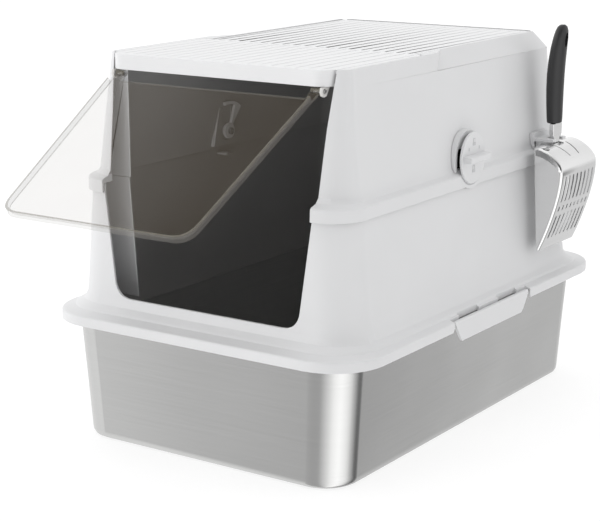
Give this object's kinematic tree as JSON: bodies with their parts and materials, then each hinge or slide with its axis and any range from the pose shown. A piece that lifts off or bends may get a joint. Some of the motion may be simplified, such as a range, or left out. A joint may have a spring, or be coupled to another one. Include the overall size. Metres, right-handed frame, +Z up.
{
  "type": "cat litter box with hood",
  "caption": "Hooded cat litter box: a steel pan under a stacked plastic hood with a ribbed hinged lid, clear swinging flap, side latches, turning locks and a scoop hung on its side.",
  "frame": {"origin": "centre of the pan's underside, where it stands on the floor", "axes": "+Z up, the entrance and its flap face -Y, the scoop hangs on the +X side"},
  "size_m": [0.451, 0.7629, 0.4645],
  "materials": {
    "pan_steel": "satin, lengthwise brushed stainless steel sheet",
    "shell_plastic": "white moulded plastic with a fine matte grain",
    "lid_plastic": "white moulded plastic, slightly smoother than the hood",
    "clear_plastic": "clear, faintly warm tinted polycarbonate sheet",
    "pin_steel": "bright drawn steel wire and screw",
    "scoop_steel": "polished stainless steel",
    "grip_plastic": "black matte soft-touch grip"
  },
  "bodies": {
    "pan": {"steel_pan": "pan_steel"},
    "lower_hood": {"lower_shell": "shell_plastic", "latch_pin_right": "pin_steel", "latch_pin_left": "pin_steel"},
    "latch_right": {"latch_right": "shell_plastic"},
    "latch_left": {"latch_left": "shell_plastic"},
    "upper_hood": {"upper_shell": "shell_plastic", "knob_plate_right": "shell_plastic", "knob_plate_left": "shell_plastic", "scoop_holder": "shell_plastic"},
    "knob_right": {"knob_right": "shell_plastic", "knob_cam_right": "shell_plastic", "knob_screw_right": "pin_steel"},
    "knob_left": {"knob_left": "shell_plastic", "knob_cam_left": "shell_plastic", "knob_screw_left": "pin_steel"},
    "lid": {"lid": "lid_plastic", "lid_hinge_pin_right": "pin_steel", "lid_hinge_pin_left": "pin_steel", "flap_hook_right": "shell_plastic", "flap_hook_left": "shell_plastic"},
    "flap": {"flap_door": "clear_plastic", "flap_pin_right": "pin_steel", "flap_pin_left": "pin_steel"},
    "scoop": {"scoop_basket": "scoop_steel", "scoop_neck": "scoop_steel", "scoop_rivet": "scoop_steel", "scoop_handle": "grip_plastic"}
  },
  "joints": [
    {"name": "hood_lift", "type": "slide", "parent": "pan", "child": "lower_hood", "axis": [0, 0, 1], "range_m": [0, 0.15]},
    {"name": "upper_lift", "type": "slide", "parent": "lower_hood", "child": "upper_hood", "axis": [0, 0, 1], "range_m": [0, 0.15]},
    {"name": "latch_right_hinge", "type": "hinge", "parent": "lower_hood", "child": "latch_right", "pos_m": [0.2125, 0.006, 0.1493], "axis": [0, -1, 0], "range_deg": [0, 100]},
    {"name": "latch_left_hinge", "type": "hinge", "parent": "lower_hood", "child": "latch_left", "pos_m": [-0.2125, 0.006, 0.1493], "axis": [0, 1, 0], "range_deg": [0, 100]},
    {"name": "knob_right_turn", "type": "hinge", "parent": "upper_hood", "child": "knob_right", "pos_m": [0.1846, -0.001, 0.326], "axis": [1, 0, 0], "range_deg": [0, 180]},
    {"name": "knob_left_turn", "type": "hinge", "parent": "upper_hood", "child": "knob_left", "pos_m": [-0.1846, -0.001, 0.326], "axis": [1, 0, 0], "range_deg": [0, 180]},
    {"name": "lid_hinge", "type": "hinge", "parent": "upper_hood", "child": "lid", "pos_m": [0, 0.229, 0.4452], "axis": [-1, 0, 0], "range_deg": [0, 95]},
    {"name": "flap_hinge", "type": "hinge", "parent": "lid", "child": "flap", "pos_m": [0, -0.245, 0.4277], "axis": [-1, 0, 0], "range_deg": [-59, 29]},
    {"name": "scoop_pull", "type": "slide", "parent": "upper_hood", "child": "scoop", "axis": [1, 0, 0], "range_m": [0, 0.06]}
  ]
}
